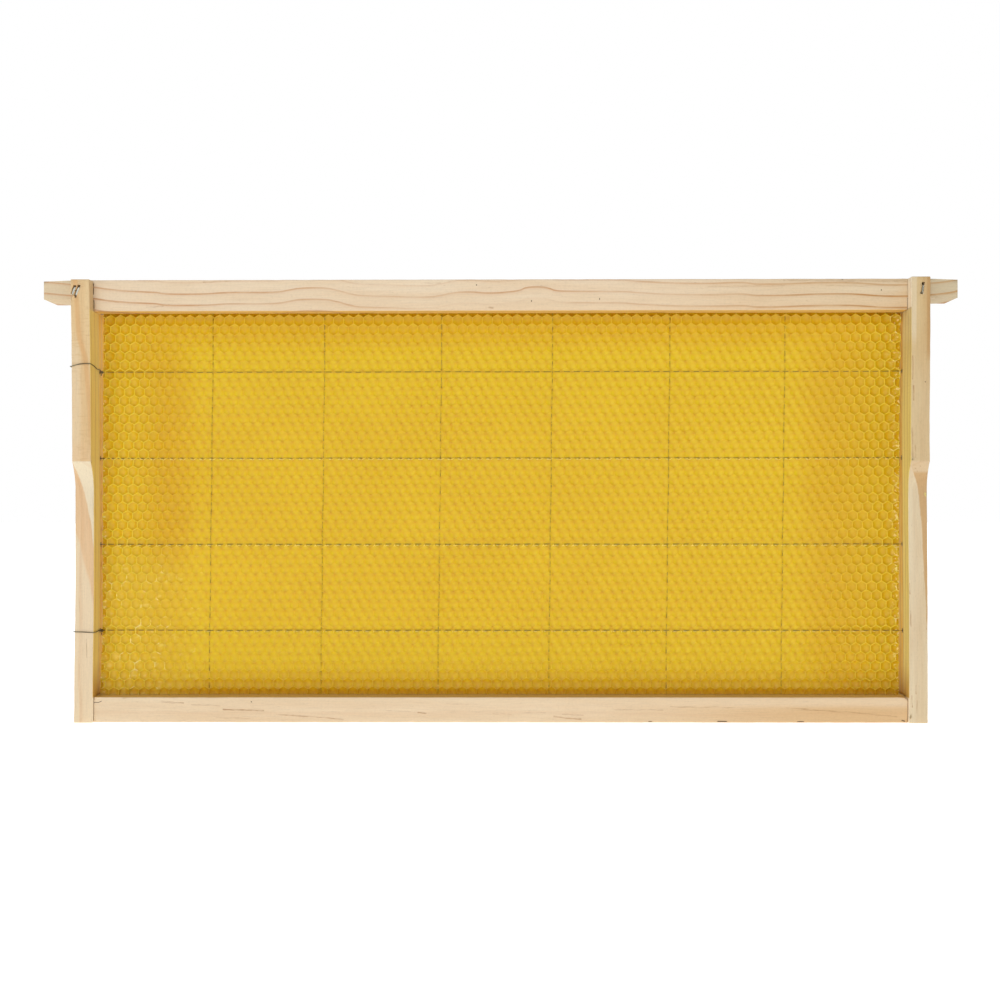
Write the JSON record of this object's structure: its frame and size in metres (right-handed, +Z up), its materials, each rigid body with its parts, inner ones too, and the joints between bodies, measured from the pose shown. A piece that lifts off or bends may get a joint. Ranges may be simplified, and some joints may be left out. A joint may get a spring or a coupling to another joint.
{
  "type": "wooden hive frame",
  "caption": "Wooden beehive brood frame: a lugged top bar, two scooped end bars and a bottom bar around a wired, embossed beeswax foundation sheet.",
  "frame": {"origin": "middle of the frame's base, between the feet of the two end bars", "axes": "+X along the top bar to the right, -Y towards the front, +Z up"},
  "size_m": [0.4826, 0.0357, 0.234],
  "materials": {
    "top_bar_pine": "planed, unfinished",
    "bottom_bar_pine": "planed, unfinished",
    "left_end_bar_pine": "planed, unfinished",
    "right_end_bar_pine": "planed, unfinished",
    "beeswax": "satin, slightly translucent",
    "frame_wire": "drawn",
    "embedded_wire": "drawn",
    "staple_steel": "galvanised"
  },
  "bodies": {
    "root": {"top_bar": "top_bar_pine", "bottom_bar": "bottom_bar_pine", "left_end_bar": "left_end_bar_pine", "right_end_bar": "right_end_bar_pine", "foundation_sheet": "beeswax", "tension_wire": "frame_wire", "embedded_wire_1": "embedded_wire", "embedded_wire_2": "embedded_wire", "embedded_wire_3": "embedded_wire", "embedded_wire_4": "embedded_wire", "embedded_wire_5": "embedded_wire", "embedded_wire_6": "embedded_wire", "left_front_staple_1": "staple_steel", "left_front_staple_2": "staple_steel", "right_front_staple": "staple_steel", "left_back_staple": "staple_steel", "right_back_staple": "staple_steel", "left_bottom_staple": "staple_steel", "right_bottom_staple": "staple_steel"}
  },
  "joints": []
}
